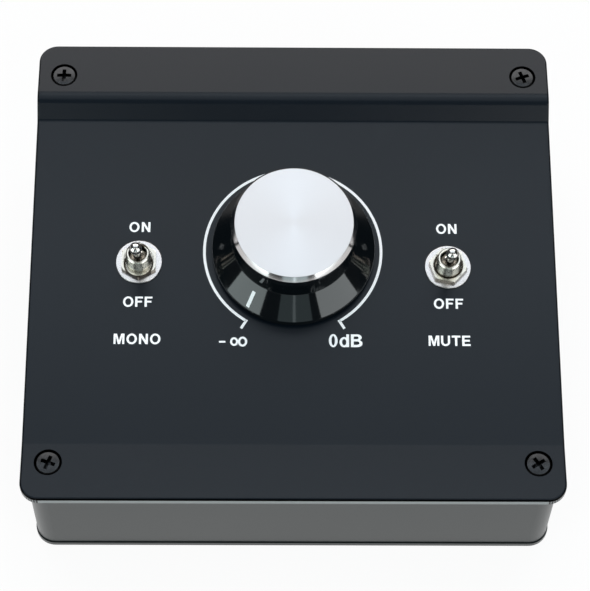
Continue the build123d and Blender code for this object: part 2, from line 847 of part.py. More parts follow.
with BuildPart() as wire_headers:
    with BuildSketch(Plane.XY.offset(board_top)):
        with Locations(*[(x, header_y) for x in header_xs]):
            Rectangle(header_width, header_depth)
    extrude(amount=header_height)
save(wire_headers, "wire_headers")


def wire_loom(name, header_x, end, end_dir):
    """A flat ribbon of wires from a header on the board up to the terminals it serves."""
    start = Vector(header_x, header_y, board_top + header_height + loom_gap)
    finish = end + end_dir * loom_gap
    rise = start + Vector(0, 0, loom_lead)
    approach = finish + end_dir * loom_lead
    with BuildPart() as loom:
        with BuildLine() as route:
            FilletPolyline(start, rise, approach, finish, radius=loom_bend_radius)
        with BuildSketch(Plane(origin=start, x_dir=(1, 0, 0), z_dir=(0, 0, 1))):
            Rectangle(loom_width, loom_thickness)
        sweep(path=route.wires()[0])
    save(loom, name)


pot_lug_end = knob_place.offset(pot_face - pot_wafer_depths[-1] - lug_thickness).from_local_coords(
    (0, pot_wafer_reach + lug_length / 2, 0)
)
wire_loom("pot_loom", header_xs[1], pot_lug_end, -knob_place.z_dir)
for switch_name, header_x in (("mono", header_xs[0]), ("mute", header_xs[2])):
    switch_place = switch_places[switch_name]
    lug_end = switch_place.offset(-cover_thickness - strap_thickness - switch_height - lug_length).origin
    wire_loom(f"{switch_name}_loom", header_x, lug_end, -switch_place.z_dir)
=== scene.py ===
import json
import math

import bmesh
import bpy
from mathutils import Matrix, Vector


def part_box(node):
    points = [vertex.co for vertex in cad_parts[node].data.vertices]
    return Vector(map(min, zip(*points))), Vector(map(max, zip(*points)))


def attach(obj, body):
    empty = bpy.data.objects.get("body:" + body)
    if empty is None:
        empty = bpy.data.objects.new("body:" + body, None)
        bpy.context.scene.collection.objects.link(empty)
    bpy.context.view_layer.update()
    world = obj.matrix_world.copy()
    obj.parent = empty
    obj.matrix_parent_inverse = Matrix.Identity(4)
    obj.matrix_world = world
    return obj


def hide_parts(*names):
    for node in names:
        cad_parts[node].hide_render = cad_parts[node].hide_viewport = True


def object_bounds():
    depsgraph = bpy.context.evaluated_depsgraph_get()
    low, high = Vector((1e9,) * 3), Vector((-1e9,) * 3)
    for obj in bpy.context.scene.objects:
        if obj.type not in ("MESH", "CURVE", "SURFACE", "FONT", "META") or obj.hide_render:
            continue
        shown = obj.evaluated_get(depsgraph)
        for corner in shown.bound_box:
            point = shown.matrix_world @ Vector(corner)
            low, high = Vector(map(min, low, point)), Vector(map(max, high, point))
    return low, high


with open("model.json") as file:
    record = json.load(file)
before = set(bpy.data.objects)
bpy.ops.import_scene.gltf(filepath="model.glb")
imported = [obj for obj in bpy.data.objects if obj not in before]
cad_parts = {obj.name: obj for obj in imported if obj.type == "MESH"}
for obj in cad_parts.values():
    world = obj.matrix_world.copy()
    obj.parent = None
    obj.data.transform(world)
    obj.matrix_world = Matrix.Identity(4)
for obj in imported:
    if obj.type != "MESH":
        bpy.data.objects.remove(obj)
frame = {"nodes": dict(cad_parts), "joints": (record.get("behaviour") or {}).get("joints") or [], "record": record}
cadLow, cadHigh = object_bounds()
nodes = frame["nodes"]
mm = 0.001
full = 2 * math.pi


class Wire:
    # a value on its way through a material: arithmetic on it adds Math nodes
    def __init__(self, finish, socket):
        self.finish = finish
        self.socket = socket

    def maths(self, operation, *values):
        return self.finish.maths(operation, *values)

    def __add__(self, other):
        return self.maths("ADD", self, other)

    def __mul__(self, other):
        return self.maths("MULTIPLY", self, other)

    def __sub__(self, other):
        return self.maths("SUBTRACT", self, other)

    def __rsub__(self, other):
        return self.maths("SUBTRACT", other, self)

    def __pow__(self, other):
        return self.maths("POWER", self, other)

    __radd__ = __add__
    __rmul__ = __mul__

    def clamped(self):
        return self.maths("MAXIMUM", self.maths("MINIMUM", self, 1), 0)

    def ramp(self, low, high):  # 0 at low, 1 at high, eased between
        settings = {"interpolation_type": "SMOOTHSTEP"}
        return self.finish.node("ShaderNodeMapRange", settings, {0: self, 1: low, 2: high, 3: 0, 4: 1})


class Finish:
    # one procedural material or world
    def __init__(self, name, world=False, **constants):
        self.block = bpy.data.worlds.new(name) if world else bpy.data.materials.new(name)
        self.block.use_nodes = True
        self.tree = self.block.node_tree
        self.shader = self.tree.nodes["Background" if world else "Principled BSDF"]
        self.drive(**constants)

    def node(self, kind, settings, values, output=0):
        made = self.tree.nodes.new(kind)
        for setting, value in settings.items():
            setattr(made, setting, value)
        for socket, value in values.items():
            self.put(made.inputs[socket], value)
        return Wire(self, made.outputs[output])

    def maths(self, operation, *values):
        return self.node("ShaderNodeMath", {"operation": operation}, dict(enumerate(values)))

    def put(self, socket, value):
        if isinstance(value, Wire):
            self.tree.links.new(value.socket, socket)
        else:
            socket.default_value = value

    def drive(self, **values):
        for socket, value in values.items():
            self.put(self.shader.inputs[socket.replace("_", " ")], value)

    def place(self, middle=(0, 0, 0), turn=(0, 0, 0)):  # object coordinates in mm; the middle is in metres
        spot = self.node("ShaderNodeTexCoord", {}, {}, "Object")
        settings = {"vector_type": "TEXTURE"}
        return self.node("ShaderNodeMapping", settings, {0: spot, 1: middle, 2: turn, 3: (mm, mm, mm)})

    def axes(self, place):
        return [self.node("ShaderNodeSeparateXYZ", {}, {0: place}, axis) for axis in range(3)]

    def noise(self, place, scale, detail):
        values = {"Vector": place, "Scale": scale, "Detail": detail}
        return self.node("ShaderNodeTexNoise", {}, values)

    def stripes(self, distance, scale, detail):  # fine lines along one measured distance
        values = {"W": distance, "Scale": scale, "Detail": detail}
        return self.node("ShaderNodeTexNoise", {"noise_dimensions": "1D"}, values)

    def blend(self, factor, first, second):
        return self.node("ShaderNodeMix", {"data_type": "RGBA"}, {0: factor, 6: first, 7: second}, 2)

    def bump(self, height, depth):  # depth in mm for a height of 1
        return self.node("ShaderNodeBump", {}, {"Height": height, "Distance": depth * mm, "Strength": 1.0})


joints = {joint["name"]: joint for joint in frame["joints"]}
panelUp = -Vector(joints["volume_turn"]["axis"])
panelRight = Vector((1, 0, 0))
panelBack = panelUp.cross(panelRight)
knobCentre = Vector(joints["volume_turn"]["pos_m"])
panelSlope = math.atan2(panelBack.z, panelBack.y)


def seatOn(centre, up=panelUp, back=panelBack):  # a place in mm: x to the right, y to the back, z outwards
    turned = Matrix((back.cross(up), back, up)).transposed().to_4x4()
    return Matrix.Translation(centre) @ turned @ Matrix.Diagonal((mm, mm, mm, 1))


# the view and the light

camera = {"spot": (-5.588, -291.305, 558.988), "down": 61.37, "right": 1.215, "roll": 1.2755, "lens": 135.93}


def makeCamera():
    data = bpy.data.cameras.new("camera")
    data.lens = camera["lens"]
    eye = bpy.data.objects.new("camera", data)
    turn = Matrix.Rotation(math.radians(-camera["right"]), 4, "Z")
    turn @= Matrix.Rotation(math.radians(90 - camera["down"]), 4, "X")
    turn @= Matrix.Rotation(math.radians(camera["roll"]), 4, "Z")
    eye.matrix_world = Matrix.Translation(Vector(camera["spot"]) * mm) @ turn
    bpy.context.scene.collection.objects.link(eye)
    bpy.context.scene.camera = eye


floor = {"radius": 0.35, "under": 0.0001, "fade": (0.20, 0.29), "white": 0.86, "glow": 0.93}


def makeFloor():
    bm = bmesh.new()
    bmesh.ops.create_circle(bm, cap_ends=True, segments=96, radius=floor["radius"],
                            matrix=Matrix.Translation((0, 0, -floor["under"])))
    mesh = bpy.data.meshes.new("floor")
    bm.to_mesh(mesh)
    bm.free()
    disc = bpy.data.objects.new("floor", mesh)
    bpy.context.scene.collection.objects.link(disc)
    grey = floor["white"]
    finish = Finish("paleFloor", Roughness=0.9, Base_Color=(grey, grey, grey, 1))
    spot = finish.node("ShaderNodeTexCoord", {}, {}, "Object")
    reach = finish.node("ShaderNodeVectorMath", {"operation": "LENGTH"}, {0: spot}, "Value")
    rays = [finish.node("ShaderNodeLightPath", {}, {}, ray)
            for ray in ("Is Camera Ray", "Is Glossy Ray", "Is Transmission Ray")]
    seen = (rays[0] + rays[1] + rays[2]).clamped()
    share = seen * (floor["glow"] + reach.ramp(*floor["fade"]) * (1 - floor["glow"]))
    glow = finish.node("ShaderNodeEmission", {}, {"Color": (1, 1, 1, 1), "Strength": 1.0})
    paint = Wire(finish, finish.shader.outputs[0])
    both = finish.node("ShaderNodeMixShader", {}, {0: share, 1: paint, 2: glow})
    finish.put(finish.tree.nodes["Material Output"].inputs["Surface"], both)
    mesh.materials.append(finish.block)


lamps = {  # angles in degrees round the object and up, distance and size in metres
    "leftBox": {"az": -54, "el": 14, "far": 1.2,
                "size": (0.90, 1.15), "bright": 2.5, "tint": (0.87, 1.0, 1.0)},
    "rightBox": {"az": 50, "el": 14, "far": 1.2,
                 "size": (0.98, 1.15), "bright": 2.5, "tint": (0.93, 1.0, 1.01)},
    "frontBox": {"az": 2, "el": 10, "far": 1.4,
                 "size": (0.88, 0.90), "bright": 0.45, "tint": (0.78, 1.0, 1.04)},
    "frontSlit": {"az": 1.2, "el": 10, "far": 1.35,
                  "size": (0.07, 0.85), "bright": 0.8, "tint": (0.88, 1.0, 1.03)},
    "highLeft": {"az": -31, "el": 53, "far": 1.3,
                 "size": (0.55, 0.42), "bright": 1.1, "tint": (0.93, 1.0, 0.99)},
    "highRight": {"az": 32, "el": 53, "far": 1.3,
                  "size": (0.60, 0.42), "bright": 1.4, "tint": (0.98, 1.0, 0.99)},
    "rearBox": {"az": 180, "el": 44, "far": 1.3,
                "size": (1.90, 0.72), "bright": 2.55, "tint": (1.0, 0.975, 0.96)},
    "midBox": {"az": 180, "el": 71, "far": 1.3,
               "size": (1.90, 0.18), "bright": 2.15, "tint": (0.86, 0.955, 1.04)},
    "skyBox": {"az": 180, "el": 86, "far": 1.3,
               "size": (1.90, 0.50), "bright": 0.85, "tint": (0.86, 0.955, 1.04)},
}


def makeLamps():
    for name, lamp in lamps.items():
        data = bpy.data.lights.new(name, "AREA")
        data.shape = "RECTANGLE"
        data.size, data.size_y = lamp["size"]
        data.energy = 4 * lamp["bright"] * data.size * data.size_y
        data.color = lamp["tint"]
        box = bpy.data.objects.new(name, data)
        az, el = math.radians(lamp["az"]), math.radians(lamp["el"])
        away = Vector((math.sin(az) * math.cos(el), -math.cos(az) * math.cos(el), math.sin(el)))
        box.rotation_euler = away.to_track_quat("Z", "Y").to_euler()
        box.location = away * lamp["far"]
        bpy.context.scene.collection.objects.link(box)


def makeWorld():
    finish = Finish("studio", world=True)
    seen = finish.node("ShaderNodeLightPath", {}, {}, "Is Camera Ray")
    finish.drive(Color=finish.blend(seen, (0.045, 0.046, 0.048, 1), (1, 1, 1, 1)))
    bpy.context.scene.world = finish.block


# finishes

# the cover's edge, in mm from the rim inwards: light grey on the cut face as a painted highlight, and black on the
# rounding as painted shade
coverEdgeLightAndShade = {"corner": 5.0, "cut": (0.003, 0.012), "rounding": (0.22, 0.42), "colour": (0.19, 0.20, 0.20, 1)}
# black rings round the cover screws, as painted shade for their countersunk holes: radii, and the screws' inset in
# their node's box, in mm
countersinkShadeRing = {"inner": 2.8, "outer": 3.65, "soft": 0.06, "inset": 2.75}
# the colour of the painted shade on the cover
black = (0, 0, 0, 1)


def powderCoat(name, dark, light, rough, grain, ior):  # satin baked paint with a fine orange peel
    finish = Finish(name, IOR=ior)
    spot = finish.place()
    cloud = finish.noise(spot, 0.03, 2)
    peel = finish.noise(spot, 1.6, 2)
    speck = finish.noise(spot, 9.0, 2)
    colour = finish.blend(0.7 * cloud + 0.3 * speck, dark, light)
    finish.drive(Base_Color=colour, Roughness=rough - 0.03 + 0.05 * cloud + 0.03 * speck,
                 Normal=finish.bump(0.8 * peel + 0.2 * speck, grain))
    return finish, spot, colour


def coverPaint():
    dark, light = (0.0026, 0.0052, 0.0086, 1), (0.0031, 0.0061, 0.0104, 1)
    finish, spot, colour = powderCoat("coverPaint", dark, light, 0.25, 0.004, 1.31)
    across, along, up = finish.axes(spot)
    across = finish.maths("ABSOLUTE", across)
    corner = coverEdgeLightAndShade["corner"]
    side = finish.maths("MAXIMUM", across - (cadHigh.x / mm - corner), 0)
    end = finish.maths("MAXIMUM", finish.maths("ABSOLUTE", along) - (cadHigh.y / mm - corner), 0)
    inset = corner - (side * side + end * end) ** 0.5
    # the cut face gets the light grey painted highlight; the rounding behind it gets black painted shade
    painted = inset.ramp(*coverEdgeLightAndShade["cut"])
    paintedShade = painted * (1 - inset.ramp(*coverEdgeLightAndShade["rounding"]))
    low, high = (Vector(box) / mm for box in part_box("cover_screws"))
    inner, outer, soft = countersinkShadeRing["inner"], countersinkShadeRing["outer"], countersinkShadeRing["soft"]
    reach = high.x - countersinkShadeRing["inset"]
    # a black ring of painted shade round each cover screw
    for middle in (low.y + countersinkShadeRing["inset"], high.y - countersinkShadeRing["inset"]):
        away = ((across - reach) * (across - reach) + (along - middle) * (along - middle)) ** 0.5
        paintedShade = away.ramp(inner, inner + soft) * (1 - away.ramp(outer - soft, outer)) + paintedShade
    # the painted highlight on the cut face
    colour = finish.blend(painted, coverEdgeLightAndShade["colour"], colour)
    # the painted shade is black and fully metallic, so that it reflects nothing
    finish.drive(Base_Color=finish.blend(paintedShade, colour, black), Metallic=paintedShade)
    return finish.block


def wallPaint():
    dark, light = (0.008, 0.012, 0.012, 1), (0.011, 0.015, 0.015, 1)
    finish, spot, colour = powderCoat("wallPaint", dark, light, 0.30, 0.004, 1.47)
    return finish.block


def moulded(name, dark, light, rough, grain=0.006):  # plastic, rubber or lacquer
    finish = Finish(name, IOR=1.48)
    spot = finish.place()
    cloud = finish.noise(spot, 0.25, 2)
    fine = finish.noise(spot, 2.5, 3)
    finish.drive(Base_Color=finish.blend(cloud, dark, light), Roughness=rough * (0.85 + 0.3 * fine),
                 Normal=finish.bump(fine, grain))
    return finish.block


def plated(name, dark, light, rough, grain=0.0008):  # metal with faint smears and a fine polish
    finish = Finish(name, Metallic=1.0)
    spot = finish.place()
    smear = finish.noise(spot, 0.6, 3)
    fine = finish.noise(spot, 5.0, 3)
    finish.drive(Base_Color=finish.blend(smear, dark, light), Roughness=rough * (0.7 + 0.6 * smear),
                 Normal=finish.bump(fine, grain))
    return finish.block


def nutNickel():  # warmer and duller than the levers, with painted shade, dark brown, in the mouth of each nut
    finish = Finish("nutNickel", Metallic=1.0)
    spot = finish.place(knobCentre, (panelSlope, 0, 0))
    across, along, up = finish.axes(spot)
    smear, fine = finish.noise(spot, 0.6, 3), finish.noise(spot, 5.0, 3)
    reach = (Vector(joints["mute_throw"]["pos_m"]) - knobCentre) / mm
    side, back = finish.maths("ABSOLUTE", across) - abs(reach.x), along - reach.dot(panelBack)
    away = (side * side + back * back) ** 0.5
    barrel, mouth = toggle["shoulder"], toggle["shoulder"] + toggle["fit"] + toggle["nutMouth"]
    # painted shade: a dark ring in the mouth of each nut, round the bushing
    dark = away.ramp(barrel, barrel + toggle["fit"]) * (1 - away.ramp(mouth - 0.2, mouth - 0.1))
    metal = finish.blend(smear, (0.52, 0.49, 0.43, 1), (0.62, 0.585, 0.52, 1))
    # the painted shade in the nut's mouth is dark brown
    finish.drive(Base_Color=finish.blend(dark, metal, (0.045, 0.036, 0.026, 1)),
                 Roughness=0.22 + 0.10 * smear, Normal=finish.bump(fine, 0.0008))
    return finish.block


def glossKnob():  # polished black moulding, with the faint rings that the mould's turning left
    finish = Finish("glossKnob", IOR=1.5)
    spot = finish.place(knobCentre, (panelSlope, 0, 0))
    across, along, up = finish.axes(spot)
    ring = (across * across + along * along) ** 0.5
    rings = finish.stripes(ring + up, 2.0, 3)
    dust = finish.noise(spot, 1.2, 3)
    finish.drive(Base_Color=finish.blend(dust, (0.0016, 0.0026, 0.0034, 1), (0.0024, 0.0036, 0.0046, 1)),
                 Roughness=0.045 + 0.03 * dust + 0.015 * rings, Normal=finish.bump(rings, 0.0004))
    return finish.block


def spunAluminium():  # fine turned rings on the face, a polished bevel round it
    finish = Finish("spunAluminium", Metallic=1.0, Anisotropic=0.5)
    spot = finish.place(knobCentre, (panelSlope, 0, 0))
    across, along, up = finish.axes(spot)
    ring = (across * across + along * along) ** 0.5
    lines = finish.stripes(ring, 6.0, 4)
    face = up.ramp(cap["faceHeight"] - 0.10, cap["faceHeight"] - 0.02)
    finish.drive(Base_Color=finish.blend(lines, (0.505, 0.490, 0.488, 1), (0.552, 0.536, 0.534, 1)),
                 Roughness=0.12 + face * (0.15 + 0.06 * lines), Normal=finish.bump(lines * face, 0.0015))
    return finish.block


def printInk():
    finish = Finish("printInk", IOR=1.5)
    spot = finish.place()
    fine = finish.noise(spot, 4.0, 2)
    finish.drive(Base_Color=finish.blend(fine, (0.92, 0.94, 0.96, 1), (0.96, 0.97, 0.98, 1)),
                 Roughness=0.5 + 0.1 * fine, Normal=finish.bump(fine, 0.002))
    return finish.block


def makeFinishes():
    return {
        "cover_paint": coverPaint(),
        "wall_paint": wallPaint(),
        "black_screw": plated("blackScrew", (0.018, 0.019, 0.020, 1), (0.050, 0.051, 0.053, 1), 0.26, 0.008),
        "rubber": moulded("rubber", (0.010, 0.010, 0.010, 1), (0.016, 0.016, 0.016, 1), 0.75, 0.02),
        "knob_plastic": glossKnob(),
        "spun_aluminium": spunAluminium(),
        "pointer_white": moulded("pointerWhite", (0.80, 0.82, 0.83, 1), (0.88, 0.89, 0.90, 1), 0.45),
        "bright_nickel": plated("brightNickel", (0.56, 0.545, 0.52, 1), (0.62, 0.60, 0.575, 1), 0.09),
        "nut_nickel": nutNickel(),
        "washer_nickel": plated("washerNickel", (0.42, 0.395, 0.385, 1), (0.62, 0.585, 0.57, 1), 0.24, 0.005),
        "zinc": plated("zinc", (0.50, 0.51, 0.52, 1), (0.60, 0.61, 0.62, 1), 0.35),
        "contact_metal": plated("contactMetal", (0.72, 0.66, 0.52, 1), (0.80, 0.76, 0.66, 1), 0.22),
        "socket_plastic": moulded("socketPlastic", (0.010, 0.010, 0.011, 1), (0.015, 0.015, 0.016, 1), 0.45,
                                  0.012),
        "switch_plastic": moulded("switchPlastic", (0.28, 0.014, 0.011, 1), (0.33, 0.018, 0.014, 1), 0.35),
        "board_laminate": moulded("boardLaminate", (0.008, 0.11, 0.04, 1), (0.012, 0.15, 0.06, 1), 0.3),
        "resistor_lacquer": moulded("resistorLacquer", (0.18, 0.38, 0.56, 1), (0.22, 0.44, 0.62, 1), 0.3),
        "header_plastic": moulded("headerPlastic", (0.76, 0.73, 0.62, 1), (0.82, 0.79, 0.68, 1), 0.45),
        "loom_sleeve": moulded("loomSleeve", (0.018, 0.018, 0.020, 1), (0.026, 0.026, 0.028, 1), 0.6, 0.02),
    }


def dressNodes():
    for entry in frame["record"]["subparts"]:
        mesh = nodes[entry["node"]].data
        mesh.materials.clear()
        mesh.materials.append(finishes[entry["material_slot"]])


# shaping, in mm about an upright axis

# turns an outline of (radius, height) points; it is closed unless both its ends are on the axis
def lathe(bm, outline, steps=96):
    corners = [bm.verts.new((radius, 0, height)) for radius, height in outline]
    pairs = list(zip(corners, corners[1:]))
    if outline[0][0] > 0 or outline[-1][0] > 0:
        pairs.append((corners[-1], corners[0]))
    edges = [bm.edges.new(pair) for pair in pairs if max(pair[0].co.x, pair[1].co.x) > 0]
    bmesh.ops.spin(bm, geom=corners + edges, cent=(0, 0, 0), axis=(0, 0, 1), angle=full, steps=steps,
                   use_merge=True)
    bmesh.ops.remove_doubles(bm, verts=bm.verts, dist=1e-4)
    bmesh.ops.recalc_face_normals(bm, faces=bm.faces)


def soften(bm, size, segments=2, angle=28):  # rounds every edge that turns by more than the angle
    bm.normal_update()
    edges = [edge for edge in bm.edges if edge.is_manifold and edge.calc_face_angle(0) > math.radians(angle)]
    bmesh.ops.bevel(bm, geom=edges, offset=size, offset_type="OFFSET", segments=segments, profile=0.5,
                    affect="EDGES", clamp_overlap=True, material=-1)


def bow(across, height, radius, start, end, steps, tall=None):  # points on an arc, its angles in degrees
    tall = radius if tall is None else tall
    turns = [math.radians(start + (end - start) * step / steps) for step in range(steps + 1)]
    return [(across + radius * math.cos(turn), height + tall * math.sin(turn)) for turn in turns]


def block(bm, size, middle):
    bmesh.ops.create_cube(bm, size=1, matrix=Matrix.Translation(middle) @ Matrix.Diagonal((*size, 1)))


def addCopy(bm, shape, place):  # adds a placed copy of one shape to another
    mesh = bpy.data.meshes.new("copy")
    shape.to_mesh(mesh)
    mesh.transform(place)
    bm.from_mesh(mesh)
    bpy.data.meshes.remove(mesh)


def asObject(name, bm):
    mesh = bpy.data.meshes.new(name)
    bm.to_mesh(mesh)
    bm.free()
    made = bpy.data.objects.new(name, mesh)
    bpy.context.scene.collection.objects.link(made)
    return made


def asShape(source):  # the finished mesh of an object, as a bmesh; the object itself goes
    made = bpy.data.meshes.new_from_object(source.evaluated_get(bpy.context.evaluated_depsgraph_get()))
    bm = bmesh.new()
    bm.from_mesh(made)
    bpy.data.objects.remove(source)
    bpy.data.meshes.remove(made)
    return bm


def carve(bm, cutter):  # cuts one shape out of another
    body, tool = asObject("body", bm), asObject("tool", cutter)
    cut = body.modifiers.new("cut", "BOOLEAN")
    cut.operation = "DIFFERENCE"
    cut.solver = "EXACT"
    cut.object = tool
    carved = asShape(body)
    bpy.data.objects.remove(tool)
    return carved


def finishPiece(name, bm, slot, body, replaced=(), seat=None, material=None, sharp=35):
    if seat is not None:
        bmesh.ops.transform(bm, matrix=seat, verts=bm.verts)
    mesh = bpy.data.meshes.new(name)
    bm.to_mesh(mesh)
    bm.free()
    mesh.shade_smooth()
    mesh.set_sharp_from_angle(angle=math.radians(sharp))
    mesh.materials.append(material or finishes[slot])
    piece = bpy.data.objects.new(name, mesh)
    bpy.context.scene.collection.objects.link(piece)
    piece.modifiers.new("flatFaces", "WEIGHTED_NORMAL").keep_sharp = True
    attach(piece, body)
    if replaced:
        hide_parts(*replaced)
    return piece


# the volume knob

knob = {
    "skirt": 21.65, "skirtFoot": 0.6, "skirtTop": 2.4, "neck": 16.45, "neckFoot": 9.2, "neckTop": 17.1,
    "wall": 2.0, "recess": 13.55, "recessFloor": 15.55, "roof": 14.15, "bore": 3.02, "boreTop": 13.65,
    "boss": 5.5, "bossFoot": 6.4, "edge": 0.28,
    "ribs": 6, "ribFoot": 9.0, "ribThick": 1.2, "ribSunk": 0.5, "ribEdge": 0.15,
}
cap = {"face": 15.45, "rim": 16.4, "rimHeight": 17.1, "faceHeight": 18.6,
       "spigot": 13.5, "spigotFoot": 15.6, "edge": 0.06}
pointer = {"from": 18.0, "to": 21.2, "wide": 1.0, "deep": 0.35, "proud": 0.015, "angle": -35.0, "edge": 0.05}


def flareHeight(radius):  # the height of the knob's sloping side
    share = (knob["skirt"] - radius) / (knob["skirt"] - knob["neck"])
    return knob["skirtTop"] + share * (knob["neckFoot"] - knob["skirtTop"])


def makeKnob():
    seat = seatOn(knobCentre)
    inside = knob["neck"] - knob["wall"]
    skirtInside = knob["skirt"] - knob["wall"]
    bm = bmesh.new()
    lathe(bm, [
        (skirtInside, knob["skirtFoot"]), (knob["skirt"], knob["skirtFoot"]),
        (knob["skirt"], knob["skirtTop"]),
        (knob["neck"], knob["neckFoot"]), (knob["neck"], knob["neckTop"]), (knob["recess"], knob["neckTop"]),
        (knob["recess"], knob["recessFloor"]), (0, knob["recessFloor"]), (0, knob["boreTop"]),
        (knob["bore"], knob["boreTop"]), (knob["bore"], knob["bossFoot"]), (knob["boss"], knob["bossFoot"]),
        (knob["boss"], knob["roof"]), (inside, knob["roof"]), (inside, knob["neckFoot"] - knob["wall"] / 2),
        (skirtInside, knob["skirtTop"] - knob["wall"] / 2),
    ], steps=192)
    soften(bm, knob["edge"], segments=3)
    rib = bmesh.new()
    length = inside - knob["boss"] + 2 * knob["ribSunk"]
    block(rib, (length, knob["ribThick"], knob["roof"] - knob["ribFoot"] + knob["ribSunk"]),
          ((inside + knob["boss"]) / 2, 0, (knob["roof"] + knob["ribFoot"] + knob["ribSunk"]) / 2))
    soften(rib, knob["ribEdge"])
    for index in range(knob["ribs"]):
        addCopy(bm, rib, Matrix.Rotation(full * index / knob["ribs"], 4, "Z"))
    rib.free()
    finishPiece("knob_moulding", bm, "knob_plastic", "knob", ["knob_body"], seat)

    bm = bmesh.new()
    lathe(bm, [
        (0, cap["spigotFoot"]), (cap["spigot"], cap["spigotFoot"]), (cap["spigot"], cap["rimHeight"]),
        (cap["rim"], cap["rimHeight"]), (cap["face"], cap["faceHeight"]), (0, cap["faceHeight"]),
    ], steps=192)
    soften(bm, cap["edge"])
    finishPiece("knob_metal_cap", bm, "spun_aluminium", "knob", ["knob_cap"], seat)

    bm = bmesh.new()
    run, rise = pointer["to"] - pointer["from"], flareHeight(pointer["to"]) - flareHeight(pointer["from"])
    middle = (pointer["from"] + pointer["to"]) / 2
    size = (math.hypot(run, rise), pointer["wide"], pointer["deep"])
    block(bm, size, (0, 0, pointer["proud"] - pointer["deep"] / 2))
    soften(bm, pointer["edge"])
    tilt = Matrix.Translation((middle, 0, flareHeight(middle)))
    tilt @= Matrix.Rotation(-math.atan2(rise, run), 4, "Y")
    swing = Matrix.Rotation(math.radians(pointer["angle"] - 90), 4, "Z")
    finishPiece("knob_pointer_line", bm, "pointer_white", "knob", ["knob_pointer"], seat @ swing @ tilt)


# the two toggle switches, with heights above the panel

toggle = {
    "pivot": 3.6, "tilt": 13.0, "cover": 2.2, "fit": 0.02,
    "washer": 6.15, "washerThick": 0.5, "washerEdge": 0.17,
    "nutFlats": 9.0, "nutTall": 1.35, "nutCrown": 4.9, "nutChamfer": 0.12, "nutEdge": 0.06, "nutMouth": 0.65,
    "thread": 3.175, "threadDeep": 0.12, "pitch": 0.7, "bore": 2.55, "top": 6.3, "rim": 0.3,
    "shoulder": 3.42, "shoulderTop": 1.3, "neckDown": 3.06,
    "lip": 2.43, "lipTall": 0.8, "lipEdge": 0.08, "strap": (12.7, 13.2, 1.0), "strapEdge": 0.1, "pin": 0.5,
    "length": 12.1, "tip": 1.65, "neck": 1.0, "root": 1.25, "joint": 2.5,
    "nib": 0.9, "nibEnd": -5.2, "nibEdge": 0.2,
}
nutTurns = {"mono": 30.0, "mute": 48.0}  # degrees, as the nuts were tightened


def ring(bm, height, radiusAt):  # a closed loop whose radius follows the angle
    made = bmesh.ops.create_circle(bm, segments=144, radius=1)["verts"]
    for vert in made:
        vert.co *= radiusAt(math.atan2(vert.co.y, vert.co.x))
        vert.co.z = height
    inside = set(made)
    return [edge for edge in bm.edges if set(edge.verts) <= inside]


def hexagon(angle):  # the nut's outside, with a corner at no angle
    return toggle["nutFlats"] / 2 / math.cos(angle % (full / 6) - full / 12)


def makeNut(name, centre):
    bore, tall, crown = toggle["shoulder"] + toggle["fit"], toggle["nutTall"], toggle["nutCrown"]
    mouth = toggle["nutMouth"]
    bm = bmesh.new()
    loops = [
        ring(bm, 0, lambda angle: bore),
        ring(bm, 0, hexagon),
        ring(bm, tall, hexagon),
        ring(bm, tall, lambda angle: min(crown, hexagon(angle) - 0.05)),
        ring(bm, tall, lambda angle: bore + mouth),
        ring(bm, tall - mouth, lambda angle: bore),
    ]
    for vert in {vert for edge in loops[2] for vert in edge.verts}:  # the corners are turned down
        vert.co.z -= toggle["nutChamfer"] * max(0, vert.co.xy.length - crown) / (hexagon(0) - crown)
    for first, second in zip(loops, loops[1:] + loops[:1]):
        bmesh.ops.bridge_loops(bm, edges=first + second)
    bmesh.ops.recalc_face_normals(bm, faces=bm.faces)
    soften(bm, toggle["nutEdge"], angle=20)
    seat = seatOn(centre + panelUp * toggle["washerThick"] * mm)
    seat @= Matrix.Rotation(math.radians(nutTurns[name]), 4, "Z")
    finishPiece(name + "_hex_nut", bm, "bright_nickel", "case", [name + "_nut"], seat, finishes["nut_nickel"],
                sharp=18)


def makeWasher(name, centre):
    bm = bmesh.new()
    inner, outer, thick = toggle["shoulder"] + toggle["fit"], toggle["washer"], toggle["washerThick"]
    lathe(bm, [(inner, 0), (outer, 0), (outer, thick), (inner, thick)], 144)
    soften(bm, toggle["washerEdge"], segments=3)
    finishPiece(name + "_flat_washer", bm, "bright_nickel", "case", [name + "_washer"], seatOn(centre),
                finishes["washer_nickel"])


def barrelRadius(height):  # straight under the panel, then a shoulder that tapers to the rim
    if height < 0:
        return toggle["thread"]
    share = max(0, height - toggle["shoulderTop"]) / (toggle["top"] - toggle["shoulderTop"])
    return toggle["shoulder"] + share * (toggle["neckDown"] - toggle["shoulder"])


